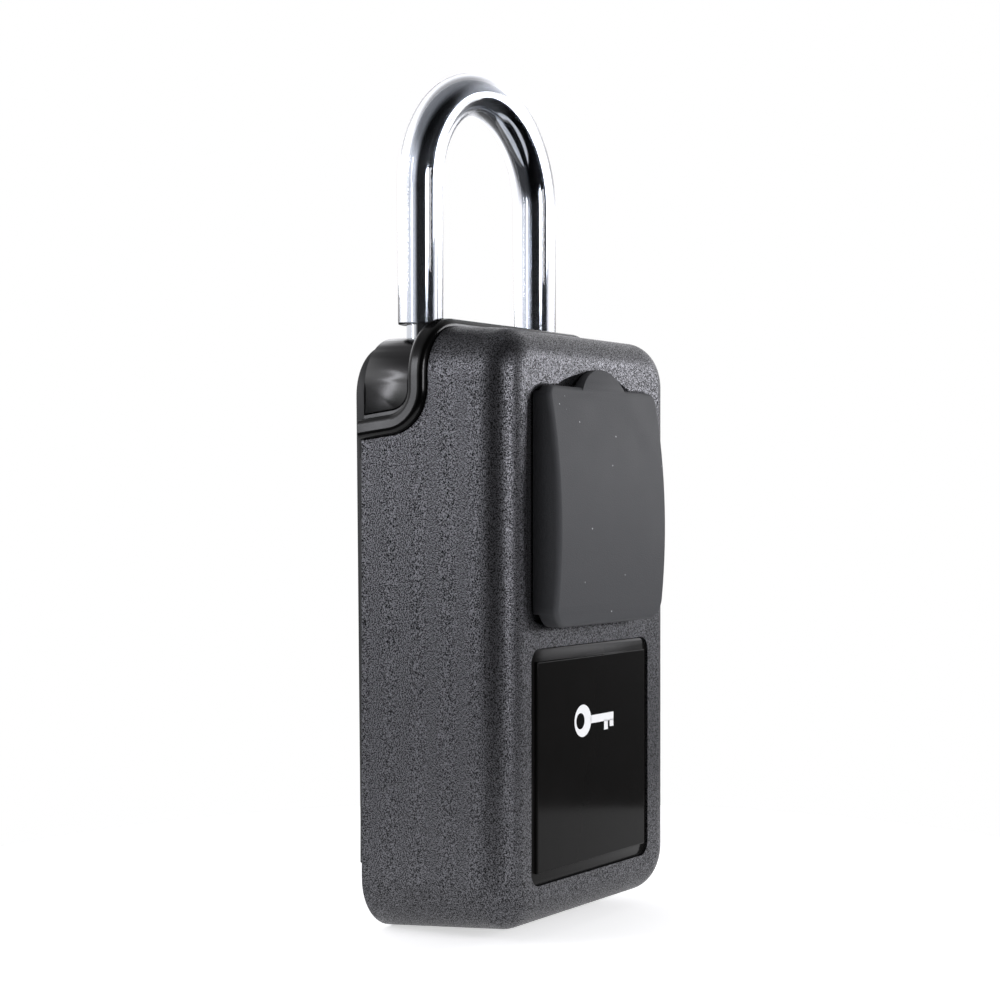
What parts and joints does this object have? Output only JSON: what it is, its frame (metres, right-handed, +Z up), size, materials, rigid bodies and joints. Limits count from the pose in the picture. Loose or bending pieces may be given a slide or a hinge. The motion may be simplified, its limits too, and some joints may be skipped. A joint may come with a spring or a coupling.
{
  "type": "key lock box",
  "caption": "Portable key lock box with a padlock-style shackle: textured box that opens on a bottom hinge, push-button lock under a rubber cover, key tray inside.",
  "frame": {"origin": "middle of the footprint, level with the lowest edge of the shell", "axes": "+Z up along the shackle legs, front and keypad towards -Y, +X to the right seen from the front"},
  "size_m": [0.0738, 0.0428, 0.184],
  "materials": {
    "shell_coat": "black sand-textured powder coat on die-cast zinc",
    "plate_coat": "rough black powder coat on steel sheet",
    "block_coat": "smooth satin black paint on die-cast zinc",
    "lug_coat": "satin black moulded nylon",
    "trim_plastic": "satin black moulded trim",
    "tray_plastic": "dark grey moulded ABS",
    "zinc_steel": "zinc plated steel",
    "rod_chrome": "bright chrome plate",
    "sleeve_vinyl": "thick clear vinyl",
    "cover_rubber": "matt dark grey rubber",
    "label_gloss": "gloss black panel",
    "label_print": "gloss black domed label with a white key mark",
    "bezel_plastic": "black moulded nylon",
    "key_plastic": "light grey moulded keys with black numbers",
    "lever_plastic": "dark red moulded lever",
    "case_cast": "die-cast lock case",
    "code_brass": "turned brass",
    "knob_plastic": "black moulded knob"
  },
  "bodies": {
    "back": {"back_plate": "plate_coat", "plate_side_lugs": "lug_coat", "key_tray": "tray_plastic", "tray_screws": "zinc_steel", "hinge_bracket": "zinc_steel", "bracket_screws": "zinc_steel", "hinge_pin": "zinc_steel", "shackle_block": "block_coat", "block_screws": "zinc_steel", "heel_retaining_pin": "zinc_steel", "catch_spring": "zinc_steel"},
    "shackle": {"shackle_rod": "rod_chrome", "shackle_sleeve": "sleeve_vinyl"},
    "catch": {"shackle_catch": "zinc_steel", "catch_knob": "knob_plastic"},
    "lid": {"front_shell": "shell_coat", "notch_trim": "trim_plastic", "label_panel": "label_gloss", "label_plate": "label_print", "keypad_bezel": "bezel_plastic", "lock_case": "case_cast", "lock_cover": "zinc_steel", "lock_screws": "zinc_steel", "code_screws": "code_brass", "button_springs": "zinc_steel", "cover_hinge_web": "cover_rubber"},
    "latch": {"latch_bolt": "zinc_steel", "code_slide": "zinc_steel"},
    "lever": {"open_lever": "lever_plastic"},
    "cover": {"weather_cover": "cover_rubber"},
    "clear_key": {"clear_button": "key_plastic"},
    "key_1": {"button_1": "key_plastic"},
    "key_2": {"button_2": "key_plastic"},
    "key_3": {"button_3": "key_plastic"},
    "key_4": {"button_4": "key_plastic"},
    "key_5": {"button_5": "key_plastic"},
    "key_6": {"button_6": "key_plastic"},
    "key_7": {"button_7": "key_plastic"},
    "key_8": {"button_8": "key_plastic"},
    "key_9": {"button_9": "key_plastic"},
    "key_0": {"button_0": "key_plastic"}
  },
  "joints": [
    {"name": "lid_hinge", "type": "hinge", "parent": "back", "child": "lid", "pos_m": [0, 0.0145, 0.0065], "axis": [1, 0, 0], "range_deg": [0, 95]},
    {"name": "shackle_lift", "type": "slide", "parent": "back", "child": "shackle", "axis": [0, 0, 1], "range_m": [0, 0.0132]},
    {"name": "catch_slide", "type": "slide", "parent": "back", "child": "catch", "axis": [1, 0, 0], "range_m": [-0.003, 0], "deforming": ["catch_spring"]},
    {"name": "latch_slide", "type": "slide", "parent": "lid", "child": "latch", "axis": [0, 0, 1], "range_m": [0, 0.0035]},
    {"name": "lever_slide", "type": "slide", "parent": "lid", "child": "lever", "axis": [0, 0, 1], "range_m": [0, 0.0035]},
    {"name": "cover_hinge", "type": "hinge", "parent": "lid", "child": "cover", "pos_m": [0, -0.0174, 0.065], "axis": [1, 0, 0], "range_deg": [0, 95], "deforming": ["cover_hinge_web"]},
    {"name": "key_1_press", "type": "slide", "parent": "lid", "child": "key_1", "axis": [0, 1, 0], "range_m": [0, 0.0016], "stiffness_N_per_m": 400, "springref_m": -0.001, "deforming": ["button_springs"]},
    {"name": "key_2_press", "type": "slide", "parent": "lid", "child": "key_2", "axis": [0, 1, 0], "range_m": [0, 0.0016], "stiffness_N_per_m": 400, "springref_m": -0.001, "deforming": ["button_springs"]},
    {"name": "key_3_press", "type": "slide", "parent": "lid", "child": "key_3", "axis": [0, 1, 0], "range_m": [0, 0.0016], "stiffness_N_per_m": 400, "springref_m": -0.001, "deforming": ["button_springs"]},
    {"name": "key_4_press", "type": "slide", "parent": "lid", "child": "key_4", "axis": [0, 1, 0], "range_m": [0, 0.0016], "stiffness_N_per_m": 400, "springref_m": -0.001, "deforming": ["button_springs"]},
    {"name": "key_5_press", "type": "slide", "parent": "lid", "child": "key_5", "axis": [0, 1, 0], "range_m": [0, 0.0016], "stiffness_N_per_m": 400, "springref_m": -0.001, "deforming": ["button_springs"]},
    {"name": "key_6_press", "type": "slide", "parent": "lid", "child": "key_6", "axis": [0, 1, 0], "range_m": [0, 0.0016], "stiffness_N_per_m": 400, "springref_m": -0.001, "deforming": ["button_springs"]},
    {"name": "key_7_press", "type": "slide", "parent": "lid", "child": "key_7", "axis": [0, 1, 0], "range_m": [0, 0.0016], "stiffness_N_per_m": 400, "springref_m": -0.001, "deforming": ["button_springs"]},
    {"name": "key_8_press", "type": "slide", "parent": "lid", "child": "key_8", "axis": [0, 1, 0], "range_m": [0, 0.0016], "stiffness_N_per_m": 400, "springref_m": -0.001, "deforming": ["button_springs"]},
    {"name": "key_9_press", "type": "slide", "parent": "lid", "child": "key_9", "axis": [0, 1, 0], "range_m": [0, 0.0016], "stiffness_N_per_m": 400, "springref_m": -0.001, "deforming": ["button_springs"]},
    {"name": "key_0_press", "type": "slide", "parent": "lid", "child": "key_0", "axis": [0, 1, 0], "range_m": [0, 0.0016], "stiffness_N_per_m": 400, "springref_m": -0.001, "deforming": ["button_springs"]},
    {"name": "clear_key_press", "type": "slide", "parent": "lid", "child": "clear_key", "axis": [0, 1, 0], "range_m": [0, 0.0016], "stiffness_N_per_m": 400, "springref_m": -0.001, "deforming": ["button_springs"]}
  ],
  "couplings": [
    {"joint": "lever_slide", "follows": "latch_slide", "ratio": 1}
  ]
}
